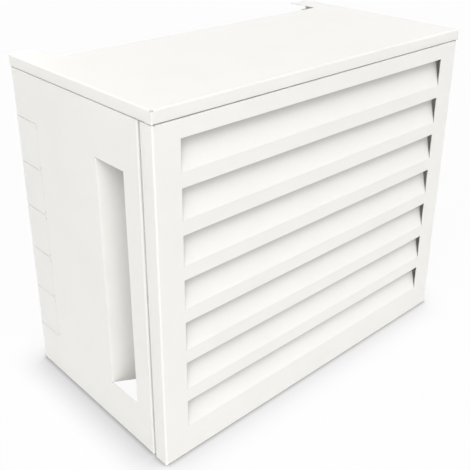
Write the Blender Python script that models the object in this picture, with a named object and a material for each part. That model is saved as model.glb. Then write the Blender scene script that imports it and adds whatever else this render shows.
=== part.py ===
"""Folded sheet screen that stands over the outdoor unit of an air conditioner.

Each sheet is drawn as its outer face, flat patches joined by folds, and then thickened inwards.
The frame is in metres: +X to the right along the width, the louvred front faces -Y, +Z is up,
and the origin is in the middle of the footprint, on the ground.
"""

import math

import bmesh
import bpy
import numpy as np
from mathutils import Matrix, Vector

# Overall sizes
WIDTH = 1.000
DEPTH = 0.540
HEIGHT = 0.840

# Sheet, folds and cuts
SHEET = 0.002
FOLD_RADIUS = 0.003
HEM = 0.022
CUT = 0.001
SEAT_GAP = 0.0003
PANEL_INSET = 0.0015

# Lid
SKIRT = 0.028
EAR_WIDTH = 0.070
EAR_REACH = 0.095
REAR_LIP = 0.020

# Front panel
RETURN_DEPTH = 0.0415
FRONT_BORDER = 0.067
TOP_BORDER = 0.040
LEAST_SILL = 0.070
LOUVRE_PITCH = 0.104
LOUVRE_HEIGHT = 0.071
LOUVRE_RADIUS = 0.008
LOUVRE_ANGLE = math.radians(17)

# Side panels
JOINT_GAP = 0.006
REAR_FLANGE = 0.033
SLOT_START = 0.104
SLOT_WIDTH = 0.102
SLOT_SILL = 0.112
SLOT_TOP_BORDER = 0.122
SLOT_RADIUS = 0.004
SLOT_ANGLE = math.radians(60)

# Fold-in tabs for pipes, at the rear edge of each side
TAB_COUNT = 5
TAB_REACH = 0.091
TAB_SILL = 0.115
TAB_TOP_BORDER = 0.1152
TAB_CUT = 0.0012
PERFORATION_LENGTH = 0.005
PERFORATION_WIDTH = 0.0015
PERFORATION_INSET = 0.005

# Slots for wall screws in the rear flanges
WALL_SLOT_WIDTH = 0.007
WALL_SLOT_LENGTH = 0.014

# Socket screws
SHANK_RADIUS = 0.0024
SHANK_REACH = 0.006
HEAD_RADIUS = 0.0047
HEAD_HEIGHT = 0.0028
HEAD_EDGE = 0.0006
SOCKET_REACH = 0.0015
SOCKET_DEPTH = 0.0016

# Rivet nuts and spacers
NUT_FLANGE = 0.0012
NUT_FLANGE_RADIUS = 0.0052
NUT_BARREL_RADIUS = 0.0036
NUT_CRIMP = 0.003
NUT_CRIMP_RADIUS = 0.0046
NUT_TAIL = 0.006
SPACER_RADIUS = 0.005
LOOSE_FIT = 0.0003

# Where the screws stand, as shares of the width, depth and panel height
LID_FRONT_SHARES = (-0.32, 0.0, 0.32)
LID_SIDE_SHARES = (-0.22, 0.26)
JOINT_SHARES = (0.12, 0.52, 0.92)

# Steps of a right-angle fold, of a shallow fold, and of a full turn
FOLD_STEPS = 4
SHALLOW_STEPS = 3
TURN_STEPS = 12

# Share of the sheet within which points are one point, and the depth of a cutter in sheets
WELD_SHARE = 0.01
CUTTER_SHEETS = 4

# Turns below which two faces are one flat, and above which an edge stays sharp
FLAT_ANGLE = math.radians(0.5)
SHARP_ANGLE = math.radians(35)

# Finishes: name, colour, roughness and metallic
PAINT = ("white_powder_coat", (0.88, 0.88, 0.86), 0.5, 0.0)
STEEL = ("stainless_steel", (0.62, 0.62, 0.60), 0.35, 1.0)
ZINC = ("zinc_plate", (0.70, 0.70, 0.68), 0.45, 1.0)
NYLON = ("black_nylon", (0.03, 0.03, 0.03), 0.5, 0.0)

# What marks a six-sided ring of a turned solid
HEXAGON = "hexagon"

# Places that follow from the sizes
LEFT = -WIDTH / 2
FRONT = -DEPTH / 2
REAR = DEPTH / 2
SKIRT_LEVEL = HEIGHT - SKIRT
PANEL_TOP = SKIRT_LEVEL - NUT_FLANGE - SEAT_GAP - SEAT_GAP
PANEL_LEFT = LEFT + PANEL_INSET
PANEL_FRONT = FRONT + PANEL_INSET
RETURN_LEVEL = PANEL_FRONT + RETURN_DEPTH
SIDE_FRONT = RETURN_LEVEL + JOINT_GAP
TAB_LINE = REAR - TAB_REACH
TABS_TOP = PANEL_TOP - TAB_TOP_BORDER
TAB_PITCH = (TABS_TOP - TAB_SILL) / TAB_COUNT
RIGHT_ANGLE = math.pi / 2


def clear_scene():
    for item in list(bpy.data.objects):
        bpy.data.objects.remove(item, do_unlink=True)


def make_material(name, colour, roughness, metallic):
    material = bpy.data.materials.new(name)
    material.use_nodes = True
    shader = material.node_tree.nodes["Principled BSDF"]
    shader.inputs["Base Color"].default_value = (*colour, 1.0)
    shader.inputs["Roughness"].default_value = roughness
    shader.inputs["Metallic"].default_value = metallic
    return material


def straight(length):
    return length, 0, 1


def fold(turn, radius=FOLD_RADIUS, steps=FOLD_STEPS):
    return radius, turn, steps


def fold_line(start, heading, *moves):
    """Points of a strip's outer face seen along its folds: straights, and folds in equal chords."""
    points = [np.array(start, float)]
    for size, turn, steps in moves:
        stride = 2 * size * math.sin(abs(turn) / steps / 2) if turn else size
        for _ in range(steps):
            heading += turn / steps / 2
            points.append(points[-1] + stride * np.array([math.cos(heading), math.sin(heading)]))
            heading += turn / steps / 2
    return np.array(points)


def square_flange(start, heading, turn, width):
    """A square fold at an edge and the flange beyond it, its width measured over the fold."""
    return fold_line(start, heading, fold(turn), straight(width - FOLD_RADIUS))


def plan_patch(plan, levels):
    """A grid of points from a line in plan, raised to each level."""
    grid = np.empty((len(plan), len(levels), 3))
    grid[..., :2] = plan[:, None, :]
    grid[..., 2] = np.array(levels)[None, :]
    return grid


def width_patch(places, profile):
    """A grid of points from a line seen from the side, repeated at each place across the width."""
    grid = np.empty((len(places), len(profile), 3))
    grid[..., 0] = np.array(places)[:, None]
    grid[..., 1:] = profile[None, :, :]
    return grid


def depth_patch(places, profile):
    """A grid of points from a line seen from the front, repeated at each place along the depth."""
    grid = np.empty((len(places), len(profile), 3))
    grid[..., 0] = profile[None, :, 0]
    grid[..., 1] = np.array(places)[:, None]
    grid[..., 2] = profile[None, :, 1]
    return grid


def all_cells(grid):
    return np.ones((grid.shape[0] - 1, grid.shape[1] - 1), bool)


def between(values, low, high):
    """Which steps of a list of places lie between two of them."""
    values = np.array(values)
    middle = (values[1:] + values[:-1]) / 2
    return (middle > low) & (middle < high)


def flags_at(total, first, flags):
    """A row of flags that are all off but for some that start at a given place."""
    row = np.zeros(total, bool)
    row[first:first + len(flags)] = flags
    return row


def add_patch(mesh, grid, keep):
    verts = {}
    for i, j in zip(*np.nonzero(keep)):
        corners = [(i, j), (i + 1, j), (i + 1, j + 1), (i, j + 1)]
        for key in corners:
            if key not in verts:
                verts[key] = mesh.verts.new(grid[key])
        mesh.faces.new([verts[key] for key in corners])


def link(name, data, material):
    item = bpy.data.objects.new(name, data)
    bpy.context.scene.collection.objects.link(item)
    if material:
        data.materials.append(material)
    return item


def make_sheet(name, patches, facing, material, cutter=None, origin=(0, 0, 0)):
    """One folded sheet: weld the patches of its outer face, thicken it inwards, cut its holes."""
    mesh = bmesh.new()
    for grid, keep in patches:
        add_patch(mesh, grid, keep)
    bmesh.ops.remove_doubles(mesh, verts=mesh.verts, dist=SHEET * WELD_SHARE)
    bmesh.ops.recalc_face_normals(mesh, faces=mesh.faces)
    widest = max(mesh.faces, key=lambda face: face.calc_area())
    if widest.normal.dot(Vector(facing)) < 0:
        bmesh.ops.reverse_faces(mesh, faces=mesh.faces)
    bmesh.ops.dissolve_limit(mesh, angle_limit=FLAT_ANGLE, verts=mesh.verts, edges=mesh.edges)
    bmesh.ops.translate(mesh, vec=-Vector(origin), verts=mesh.verts)
    data = bpy.data.meshes.new(name)
    mesh.to_mesh(data)
    mesh.free()
    item = link(name, data, material)
    item.location = origin
    wall = item.modifiers.new("wall", "SOLIDIFY")
    wall.thickness = SHEET
    wall.offset = -1
    wall.use_even_offset = True
    if cutter:
        cut = item.modifiers.new("holes", "BOOLEAN")
        cut.operation = "DIFFERENCE"
        cut.solver = "EXACT"
        cut.object = cutter
    return item


def turned_rings(rings, steps=TURN_STEPS):
    """Rings of points round +Z, each from a radius, a height and, if it has six sides, its mark."""
    angles = np.arange(steps) * 2 * math.pi / steps
    sixth = math.pi / 3
    corner = 1 / np.cos(angles % sixth - sixth / 2)
    grid = np.empty((len(rings), steps, 3))
    for row, (radius, height, *shape) in enumerate(rings):
        reach = radius * corner if shape == [HEXAGON] else radius * np.ones(steps)
        grid[row, :, 0] = reach * np.cos(angles)
        grid[row, :, 1] = reach * np.sin(angles)
        grid[row, :, 2] = height
    return grid


def turned_mesh(name, rings, closed):
    """A turned solid: rings joined in order, the last back to the first, or both ends filled."""
    grid = turned_rings(rings)
    rows, steps = grid.shape[:2]
    index = np.arange(rows * steps).reshape(rows, steps)
    faces = []
    for row in range(rows if closed else rows - 1):
        below = index[row]
        above = index[(row + 1) % rows]
        faces += [[below[k], below[(k + 1) % steps], above[(k + 1) % steps], above[k]] for k in range(steps)]
    if not closed:
        faces += [list(index[0][::-1]), list(index[-1])]
    data = bpy.data.meshes.new(name)
    data.from_pydata(grid.reshape(-1, 3).tolist(), [], [[int(v) for v in face] for face in faces])
    mesh = bmesh.new()
    mesh.from_mesh(data)
    bmesh.ops.recalc_face_normals(mesh, faces=mesh.faces)
    mesh.to_mesh(data)
    mesh.free()
    data.shade_smooth()
    data.set_sharp_from_angle(angle=SHARP_ANGLE)
    return data


def screw_mesh(name, grip):
    """Socket screw along +Z from the face under its head, through the grip and on into its nut."""
    tip = grip + SHANK_REACH
    rings = [
        (SHANK_RADIUS - HEAD_EDGE, tip),
        (SHANK_RADIUS, tip - HEAD_EDGE),
        (SHANK_RADIUS, 0),
        (HEAD_RADIUS, 0),
        (HEAD_RADIUS, -HEAD_HEIGHT + HEAD_EDGE),
        (HEAD_RADIUS - HEAD_EDGE, -HEAD_HEIGHT),
        (SOCKET_REACH, -HEAD_HEIGHT, HEXAGON),
        (SOCKET_REACH, -HEAD_HEIGHT + SOCKET_DEPTH, HEXAGON),
    ]
    return turned_mesh(name, rings, closed=False)


def nut_mesh(name):
    """Rivet nut along +Z: its flange under the sheet, its crimped barrel through and above it."""
    bore = SHANK_RADIUS + LOOSE_FIT
    over = SEAT_GAP + SHEET + SEAT_GAP
    rings = [
        (bore, -NUT_FLANGE),
        (NUT_FLANGE_RADIUS, -NUT_FLANGE),
        (NUT_FLANGE_RADIUS, 0),
        (NUT_BARREL_RADIUS, 0),
        (NUT_BARREL_RADIUS, over),
        (NUT_CRIMP_RADIUS, over),
        (NUT_BARREL_RADIUS, over + NUT_CRIMP),
        (NUT_BARREL_RADIUS, over + NUT_CRIMP + NUT_TAIL),
        (bore, over + NUT_CRIMP + NUT_TAIL),
    ]
    return turned_mesh(name, rings, closed=True)


def spacer_mesh(name, thickness):
    bore = SHANK_RADIUS + LOOSE_FIT
    rings = [(bore, 0), (SPACER_RADIUS, 0), (SPACER_RADIUS, thickness), (bore, thickness)]
    return turned_mesh(name, rings, closed=True)


def place(name, data, material, point, turn=Matrix()):
    item = link(name, data, None)
    if not data.materials:
        data.materials.append(material)
    item.matrix_world = Matrix.Translation(point) @ turn
    return item


def add_round_cutter(mesh, point, along, radius):
    """A round cutter through one sheet, centred on a point of its outer face."""
    turn = Vector((0, 0, 1)).rotation_difference(Vector(along)).to_matrix().to_4x4()
    bmesh.ops.create_cone(
        mesh, cap_ends=True, segments=TURN_STEPS, radius1=radius, radius2=radius,
        depth=CUTTER_SHEETS * SHEET, matrix=Matrix.Translation(point) @ turn)


def add_slot_cutter(mesh, point):
    """An upright round-ended cutter through a rear flange, centred on a point of its outer face."""
    radius = WALL_SLOT_WIDTH / 2
    offset = WALL_SLOT_LENGTH / 2 - radius
    angles = np.linspace(0, math.pi, TURN_STEPS // 2 + 1)
    arc = np.stack([radius * np.cos(angles), offset + radius * np.sin(angles)], 1)
    outline = np.vstack([arc, -arc])
    half = CUTTER_SHEETS * SHEET / 2
    face = mesh.faces.new([
        mesh.verts.new((point[0] + x, point[1] - half, point[2] + z)) for x, z in outline])
    raised = bmesh.ops.extrude_face_region(mesh, geom=[face])
    moved = [part for part in raised["geom"] if isinstance(part, bmesh.types.BMVert)]
    bmesh.ops.translate(mesh, vec=(0, 2 * half, 0), verts=moved)


def finish_cutter(name, mesh):
    bmesh.ops.recalc_face_normals(mesh, faces=mesh.faces)
    data = bpy.data.meshes.new(name)
    mesh.to_mesh(data)
    mesh.free()
    item = link(name, data, None)
    item.hide_render = True
    item.display_type = "WIRE"
    return item


def hem_middle(edge):
    """The line where the screws stand: halfway over the flat that every hem shares."""
    return edge + PANEL_INSET + (HEM - PANEL_INSET) / 2


def lid_screw_points():
    """Names and places, across and along, of the screws under the lid."""
    points = []
    for number, share in enumerate(LID_FRONT_SHARES, 1):
        points.append((f"lid_front_{number}", share * WIDTH, hem_middle(FRONT)))
    for side, sign in (("left", 1), ("right", -1)):
        for number, share in enumerate(LID_SIDE_SHARES, 1):
            points.append((f"lid_{side}_{number}", sign * hem_middle(LEFT), share * DEPTH))
    return points


def joint_screw_points():
    """Names and places, across and up, of the screws between the front and the side panels."""
    points = []
    for side, sign in (("left", 1), ("right", -1)):
        for number, share in enumerate(JOINT_SHARES, 1):
            points.append((f"{side}_joint_{number}", sign * hem_middle(LEFT), share * PANEL_TOP))
    return points


def lid_cutter():
    mesh = bmesh.new()
    for _, x, y in lid_screw_points():
        add_round_cutter(mesh, (x, y, SKIRT_LEVEL), (0, 0, 1), NUT_BARREL_RADIUS + LOOSE_FIT)
    return finish_cutter("lid_holes", mesh)


def make_lid(material):
    """Lid: a flat top, a hemmed skirt on three sides, and two ears that reach the wall."""
    recess = REAR - EAR_REACH
    inner = LEFT + EAR_WIDTH
    corner = HEM + CUT
    half = LEFT + np.array([
        FOLD_RADIUS, FOLD_RADIUS + CUT, corner, corner + CUT, EAR_WIDTH, EAR_WIDTH + CUT])
    xs = np.concatenate([half, -half[::-1]])
    ys = np.array([
        FRONT + FOLD_RADIUS, FRONT + FOLD_RADIUS + CUT, FRONT + corner, FRONT + corner + CUT,
        recess - FOLD_RADIUS, recess, REAR])
    top = depth_patch(ys, np.stack([xs, np.full(len(xs), HEIGHT)], 1))
    keep_top = all_cells(top)
    keep_top[np.ix_(between(ys, recess - FOLD_RADIUS, REAR), between(xs, inner, -inner))] = False

    lip = width_patch(xs, square_flange((recess - FOLD_RADIUS, HEIGHT), 0, -RIGHT_ANGLE, REAR_LIP))
    keep_lip = all_cells(lip)
    keep_lip[~between(xs, inner + CUT, -inner - CUT)] = False
    patches = [(top, keep_top), (lip, keep_lip)]

    front_places = np.concatenate([[LEFT], xs, [-LEFT]])
    patches += skirt_patches(width_patch, front_places, skirt_line(FRONT), LEFT, -LEFT)
    side_places = np.concatenate([[FRONT + SHEET + SEAT_GAP], ys])
    side_line = skirt_line(LEFT)
    for line in (side_line, side_line * (-1, 1)):
        patches += skirt_patches(depth_patch, side_places, line, FRONT, REAR + corner + CUT)
    return make_sheet("top_cover", patches, (0, 0, 1), material, lid_cutter())


def skirt_line(edge):
    """Section of the lid's skirt at an edge on the low side: fold, drop, fold and hem."""
    return fold_line(
        (edge + FOLD_RADIUS, HEIGHT), math.pi,
        fold(RIGHT_ANGLE), straight(SKIRT - 2 * FOLD_RADIUS),
        fold(RIGHT_ANGLE), straight(HEM - FOLD_RADIUS))


def skirt_patches(patch, places, line, low_corner, high_corner):
    """The skirt along one edge, its top fold and its hem cut short of the corners at its ends."""
    drop = 1 + FOLD_STEPS
    relief = FOLD_RADIUS + CUT
    corner = HEM + CUT
    grid = patch(places, line)
    keep = all_cells(grid)
    keep[~between(places, low_corner + relief, high_corner - relief), :FOLD_STEPS] = False
    keep[~between(places, low_corner + corner + CUT, high_corner - corner - CUT), drop:] = False
    foot = patch(places, np.array([line[drop], [line[drop][0], SKIRT_LEVEL]]))
    keep_foot = all_cells(foot)
    keep_foot[between(places, low_corner + corner, high_corner - corner)] = False
    return [(grid, keep), (foot, keep_foot)]


def front_cutter():
    mesh = bmesh.new()
    for name, x, y in lid_screw_points():
        if "front" in name:
            add_round_cutter(mesh, (x, y, PANEL_TOP), (0, 0, 1), SHANK_RADIUS + LOOSE_FIT)
    for _, x, z in joint_screw_points():
        add_round_cutter(mesh, (x, RETURN_LEVEL, z), (0, 1, 0), NUT_BARREL_RADIUS + LOOSE_FIT)
    return finish_cutter("front_holes", mesh)


def louvre_sills():
    """Level of the bottom edge of each louvre opening, from the top one down."""
    room = PANEL_TOP - TOP_BORDER - LEAST_SILL
    count = int((room - LOUVRE_HEIGHT) / LOUVRE_PITCH) + 1
    highest = PANEL_TOP - TOP_BORDER - LOUVRE_HEIGHT
    return [highest - number * LOUVRE_PITCH for number in range(count)]


def edge_flanges(patch, places, face, low, high):
    """The flanges folded in along the foot and the top of a panel's face, between two places."""
    flanges = []
    for level, heading, turn in ((PANEL_TOP - FOLD_RADIUS, RIGHT_ANGLE, -RIGHT_ANGLE),
                                 (FOLD_RADIUS, -RIGHT_ANGLE, RIGHT_ANGLE)):
        grid = patch(places, square_flange((face, level), heading, turn, HEM))
        keep = all_cells(grid)
        keep[~between(places, low, high)] = False
        flanges.append((grid, keep))
    return flanges


def clear_for_flanges(keep, columns, zs):
    """Leave out the foot and top rows of a panel where its flanges are folded in."""
    for rows in (between(zs, 0, FOLD_RADIUS), between(zs, PANEL_TOP - FOLD_RADIUS, PANEL_TOP)):
        keep[np.ix_(columns, rows)] = False


def front_wall(xs, border, sills):
    """Face and returns of the front panel, with the louvres' openings left out."""
    levels = {0, FOLD_RADIUS, PANEL_TOP - FOLD_RADIUS, PANEL_TOP}
    for sill in sills:
        levels |= {sill, sill + LOUVRE_HEIGHT}
    zs = np.array(sorted(levels))
    left = fold_line(
        (PANEL_LEFT + HEM, RETURN_LEVEL), math.pi,
        straight(HEM - FOLD_RADIUS), fold(RIGHT_ANGLE),
        straight(RETURN_DEPTH - 2 * FOLD_RADIUS), fold(RIGHT_ANGLE))
    face = np.stack([xs[1:-1], np.full(len(xs) - 2, PANEL_FRONT)], 1)
    plan = np.vstack([left, face, left[::-1] * (-1, 1)])
    wall = plan_patch(plan, zs)
    keep = all_cells(wall)
    first = len(left) - 1
    steps = len(plan) - 1
    clear_for_flanges(keep, flags_at(steps, first, between(xs, xs[1], xs[-2])), zs)
    opened = flags_at(steps, first, between(xs, border, -border))
    for sill in sills:
        keep[np.ix_(opened, between(zs, sill, sill + LOUVRE_HEIGHT))] = False
    return wall, keep


def louvre_blade(xs, border, sill):
    """One louvre's blade, folded in from the foot of its opening."""
    flat = LOUVRE_HEIGHT - CUT - LOUVRE_ANGLE * LOUVRE_RADIUS
    line = fold_line(
        (PANEL_FRONT, sill), RIGHT_ANGLE,
        fold(-LOUVRE_ANGLE, LOUVRE_RADIUS, SHALLOW_STEPS), straight(flat))
    blade = width_patch(xs, line)
    keep = all_cells(blade)
    keep[~between(xs, border + CUT, -border - CUT)] = False
    return blade, keep


def make_front_panel(material):
    """Front panel: one tray with hemmed returns and its louvres folded in from their openings."""
    sills = louvre_sills()
    edge = PANEL_LEFT + FOLD_RADIUS
    border = LEFT + FRONT_BORDER
    half = np.array([edge, edge + CUT, edge + CUT + CUT, border, border + CUT])
    xs = np.concatenate([half, -half[::-1]])
    patches = [front_wall(xs, border, sills)]
    patches += edge_flanges(width_patch, xs, PANEL_FRONT, xs[2], xs[-3])
    patches += [louvre_blade(xs, border, sill) for sill in sills]
    return make_sheet("front_louvre_panel", patches, (0, -1, 0), material, front_cutter())


def side_cutter(side, sign):
    mesh = bmesh.new()
    for name, x, y in lid_screw_points():
        if side in name:
            add_round_cutter(mesh, (x, y, PANEL_TOP), (0, 0, 1), SHANK_RADIUS + LOOSE_FIT)
    for name, x, z in joint_screw_points():
        if side in name:
            add_round_cutter(mesh, (x, SIDE_FRONT, z), (0, 1, 0), SHANK_RADIUS + LOOSE_FIT)
    x = sign * (PANEL_LEFT + REAR_FLANGE / 2)
    for z in (TAB_SILL / 2, (TABS_TOP + PANEL_TOP) / 2):
        add_slot_cutter(mesh, (x, REAR, z))
    return finish_cutter(f"{side}_holes", mesh)


def tab_levels(number):
    """Lowest and highest level of one fold-in tab, between its cuts."""
    low = TAB_SILL + number * TAB_PITCH
    return low + TAB_CUT / 2, low + TAB_PITCH - TAB_CUT / 2


def perforations():
    """Levels of the short cuts on the fold line, near both ends of every tab."""
    spans = []
    for number in range(TAB_COUNT):
        low, high = tab_levels(number)
        spans.append((low + PERFORATION_INSET, low + PERFORATION_INSET + PERFORATION_LENGTH))
        spans.append((high - PERFORATION_INSET - PERFORATION_LENGTH, high - PERFORATION_INSET))
    return spans


def rear_fold():
    """Plan of the fold at the rear edge of a side and of the flange that meets the wall."""
    return square_flange((PANEL_LEFT, REAR - FOLD_RADIUS), RIGHT_ANGLE, -RIGHT_ANGLE, REAR_FLANGE)


def side_wall(ys, zs, slot_rear, slot_top):
    """Face and upright flanges of a side, with the slot, the tabs and the perforations left out."""
    front = fold_line(
        (PANEL_LEFT + HEM, SIDE_FRONT), math.pi, straight(HEM - FOLD_RADIUS), fold(-RIGHT_ANGLE))
    face = np.stack([np.full(len(ys) - 2, PANEL_LEFT), ys[1:-1]], 1)
    plan = np.vstack([front, face, rear_fold()])
    wall = plan_patch(plan, zs)
    keep = all_cells(wall)
    first = len(front) - 1
    steps = len(plan) - 1
    clear_for_flanges(keep, flags_at(steps, first, between(ys, ys[1], ys[-2])), zs)
    opened = flags_at(steps, first, between(ys, slot_rear - SLOT_WIDTH, slot_rear))
    keep[np.ix_(opened, between(zs, SLOT_SILL, slot_top))] = False
    pierced = flags_at(steps, first, between(ys, TAB_LINE - PERFORATION_WIDTH, TAB_LINE))
    for low, high in perforations():
        keep[np.ix_(pierced, between(zs, low, high))] = False
    behind = np.arange(steps) >= first + np.argmax(ys >= TAB_LINE)
    keep[np.ix_(behind, between(zs, TAB_SILL - TAB_CUT / 2, TABS_TOP + TAB_CUT / 2))] = False
    return wall, keep


def slot_blade(zs, slot_rear, slot_top):
    """The tall blade folded in from the rear edge of a side's slot."""
    flat = SLOT_WIDTH - CUT - SLOT_ANGLE * SLOT_RADIUS
    line = fold_line(
        (PANEL_LEFT, slot_rear), -RIGHT_ANGLE, fold(SLOT_ANGLE, SLOT_RADIUS), straight(flat))
    blade = plan_patch(line, zs[(zs >= SLOT_SILL + CUT) & (zs <= slot_top - CUT)])
    return blade, all_cells(blade)


def make_side_panel(side, sign, material):
    """Side panel: front and rear flanges, a tall slot with its blade, and room for the tabs."""
    slot_front = FRONT + SLOT_START
    slot_rear = slot_front + SLOT_WIDTH
    slot_top = PANEL_TOP - SLOT_TOP_BORDER
    edge = SIDE_FRONT + FOLD_RADIUS
    back = REAR - FOLD_RADIUS
    ys = np.array([
        edge, edge + CUT, edge + CUT + CUT, slot_front, slot_rear, TAB_LINE - PERFORATION_WIDTH,
        TAB_LINE, back - CUT - CUT, back - CUT, back])
    levels = {0, FOLD_RADIUS, SLOT_SILL, SLOT_SILL + CUT, slot_top - CUT, slot_top,
              TAB_SILL - TAB_CUT / 2, TABS_TOP + TAB_CUT / 2,
              PANEL_TOP - FOLD_RADIUS, PANEL_TOP}
    for span in perforations():
        levels |= set(span)
    zs = np.array(sorted(levels))
    patches = [side_wall(ys, zs, slot_rear, slot_top), slot_blade(zs, slot_rear, slot_top)]
    patches += edge_flanges(depth_patch, ys, PANEL_LEFT, ys[2], ys[-3])
    for grid, _ in patches:
        grid[..., 0] *= sign
    return make_sheet(f"{side}_side_panel", patches, (-sign, 0, 0), material, side_cutter(side, sign))


def make_tab(side, sign, number, material):
    """One fold-in tab: a plate from its fold line to the rear fold, with its length of flange."""
    low, high = tab_levels(number)
    plan = np.vstack([[PANEL_LEFT, TAB_LINE + SEAT_GAP], rear_fold()])
    plate = plan_patch(plan, [low, high])
    plate[..., 0] *= sign
    hinge = (sign * (PANEL_LEFT + SHEET), TAB_LINE + SEAT_GAP / 2, (low + high) / 2)
    name = f"{side}_pipe_tab_{number + 1}"
    return make_sheet(name, [(plate, all_cells(plate))], (-sign, 0, 0), material, origin=hinge)


def make_lid_fasteners(steel, zinc):
    """Screws that rise through the panels' top flanges into rivet nuts in the lid's hem."""
    grip = SEAT_GAP + SHEET + SEAT_GAP + NUT_FLANGE + SEAT_GAP + SHEET
    screw = screw_mesh("lid_screw", grip)
    nut = nut_mesh("lid_rivet_nut")
    for name, x, y in lid_screw_points():
        place(f"{name}_screw", screw, steel, (x, y, PANEL_TOP - SHEET - SEAT_GAP))
        place(f"{name}_rivet_nut", nut, zinc, (x, y, SKIRT_LEVEL - SEAT_GAP))


def make_joint_fasteners(steel, zinc, nylon):
    """Screws that reach forward through the side panels' flanges and spacers into the front's nuts."""
    forward = Matrix.Rotation(RIGHT_ANGLE, 4, "X")
    nut_seat = RETURN_LEVEL + SEAT_GAP
    spacer_seat = nut_seat + NUT_FLANGE + SEAT_GAP
    thickness = SIDE_FRONT - SEAT_GAP - spacer_seat
    head_seat = SIDE_FRONT + SHEET + SEAT_GAP
    grip = head_seat - RETURN_LEVEL + SHEET
    screw = screw_mesh("joint_screw", grip)
    nut = nut_mesh("joint_rivet_nut")
    spacer = spacer_mesh("joint_spacer", thickness)
    for name, x, z in joint_screw_points():
        place(f"{name}_screw", screw, steel, (x, head_seat, z), forward)
        place(f"{name}_rivet_nut", nut, zinc, (x, nut_seat, z), forward)
        place(f"{name}_spacer", spacer, nylon, (x, SIDE_FRONT - SEAT_GAP, z), forward)


def main():
    clear_scene()
    paint = make_material(*PAINT)
    steel = make_material(*STEEL)
    zinc = make_material(*ZINC)
    nylon = make_material(*NYLON)
    make_lid(paint)
    make_front_panel(paint)
    for side, sign in (("left", 1), ("right", -1)):
        make_side_panel(side, sign, paint)
        for number in range(TAB_COUNT):
            make_tab(side, sign, number, paint)
    make_lid_fasteners(steel, zinc)
    make_joint_fasteners(steel, zinc, nylon)


main()
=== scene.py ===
"""Folded sheet screen that stands over the outdoor unit of an air conditioner, as it is seen.

Each sheet is worked out as its outer face: flat patches and folds are grids of points, cut where
the sheet is open, welded along their shared lines and thickened inwards. The frame is in metres:
+X to the right along the width, the louvred front faces -Y, and +Z is up.
"""

import logging
import math
from dataclasses import dataclass
from enum import Enum
from typing import Any, Optional, Sequence

import bmesh
import bpy
import numpy as np
from bpy.types import ID, Material, Mesh, Node, NodeSocket, NodeTree, Object
from mathutils import Matrix, Vector


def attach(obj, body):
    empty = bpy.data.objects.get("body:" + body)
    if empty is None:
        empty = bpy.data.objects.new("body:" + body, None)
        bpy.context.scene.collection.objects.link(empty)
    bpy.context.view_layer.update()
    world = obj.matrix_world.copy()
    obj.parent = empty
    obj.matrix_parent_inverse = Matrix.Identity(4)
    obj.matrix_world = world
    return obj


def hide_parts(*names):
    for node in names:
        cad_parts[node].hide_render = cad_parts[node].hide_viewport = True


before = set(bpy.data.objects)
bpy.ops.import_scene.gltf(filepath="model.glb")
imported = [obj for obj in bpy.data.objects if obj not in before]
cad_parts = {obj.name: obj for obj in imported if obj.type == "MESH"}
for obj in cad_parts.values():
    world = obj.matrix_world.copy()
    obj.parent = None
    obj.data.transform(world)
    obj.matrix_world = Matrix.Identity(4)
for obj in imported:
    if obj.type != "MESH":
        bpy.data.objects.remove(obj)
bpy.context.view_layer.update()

LOG = logging.getLogger("screen")
RIGHT_ANGLE = math.pi / 2
Line = np.ndarray
Grid = np.ndarray


class Side(Enum):
    """A side of the screen, seen from the front, and the sign that mirrors the left one onto it."""

    LEFT = 1
    RIGHT = -1

    @property
    def word(self) -> str:
        """The side's name as the frame's nodes have it."""
        return self.name.lower()


class Along(Enum):
    """The direction that a profile is carried along."""

    WIDTH = 0
    DEPTH = 1
    HEIGHT = 2


# ---- sizes


@dataclass(frozen=True)
class Stock:
    """The sheet and how it is folded, and the room that is left between two sheets."""

    gauge: float = 0.002
    fold_radius: float = 0.0045
    tight_radius: float = 0.0025
    fold_steps: int = 10
    hem: float = 0.022
    cut: float = 0.001
    seat_gap: float = 0.0003
    edge_break: float = 0.00035
    weld: float = 0.00002
    sharp_edge: float = math.radians(40)


@dataclass(frozen=True)
class Envelope:
    """The screen's overall size and the levels that its sheets share."""

    width: float = 1.000
    depth: float = 0.540
    height: float = 0.840
    skirt: float = 0.028
    nut_flange: float = 0.0012
    inset: float = 0.0015
    return_depth: float = 0.0415
    joint_gap: float = 0.006

    @property
    def left(self) -> float:
        """The lid's left edge."""
        return -self.width / 2

    @property
    def front(self) -> float:
        """The lid's front edge."""
        return -self.depth / 2

    @property
    def rear(self) -> float:
        """The line of the wall."""
        return self.depth / 2

    @property
    def skirt_level(self) -> float:
        """The underside of the lid's hem."""
        return self.height - self.skirt

    @property
    def panel_top(self) -> float:
        """The top of the front and side panels, a nut's flange below the lid's hem."""
        return self.skirt_level - self.nut_flange - 2 * STOCK.seat_gap

    @property
    def panel_left(self) -> float:
        """The outer face of the left side panel."""
        return self.left + self.inset

    @property
    def panel_front(self) -> float:
        """The outer face of the front panel."""
        return self.front + self.inset

    @property
    def return_level(self) -> float:
        """The rear of the front panel's returns."""
        return self.panel_front + self.return_depth

    @property
    def side_front(self) -> float:
        """The front of the side panels, past the joint's gap."""
        return self.return_level + self.joint_gap


STOCK = Stock()
SIZE = Envelope()


# ---- lines and grids


@dataclass(frozen=True)
class Move:
    """One stretch of a folded line: a straight of some length, or a bend of some radius.

    Attributes:
        size: length of the straight, or radius of the bend.
        turn: angle of the bend, anticlockwise, or nothing for a straight.
        steps: equal chords that the stretch is drawn with.
    """

    size: float
    turn: float = 0.0
    steps: int = 1


def fold(turn: float, radius: float = STOCK.fold_radius, steps: int = STOCK.fold_steps) -> Move:
    """A bend of the stock's own radius unless another is given."""
    return Move(radius, turn, steps)


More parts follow.
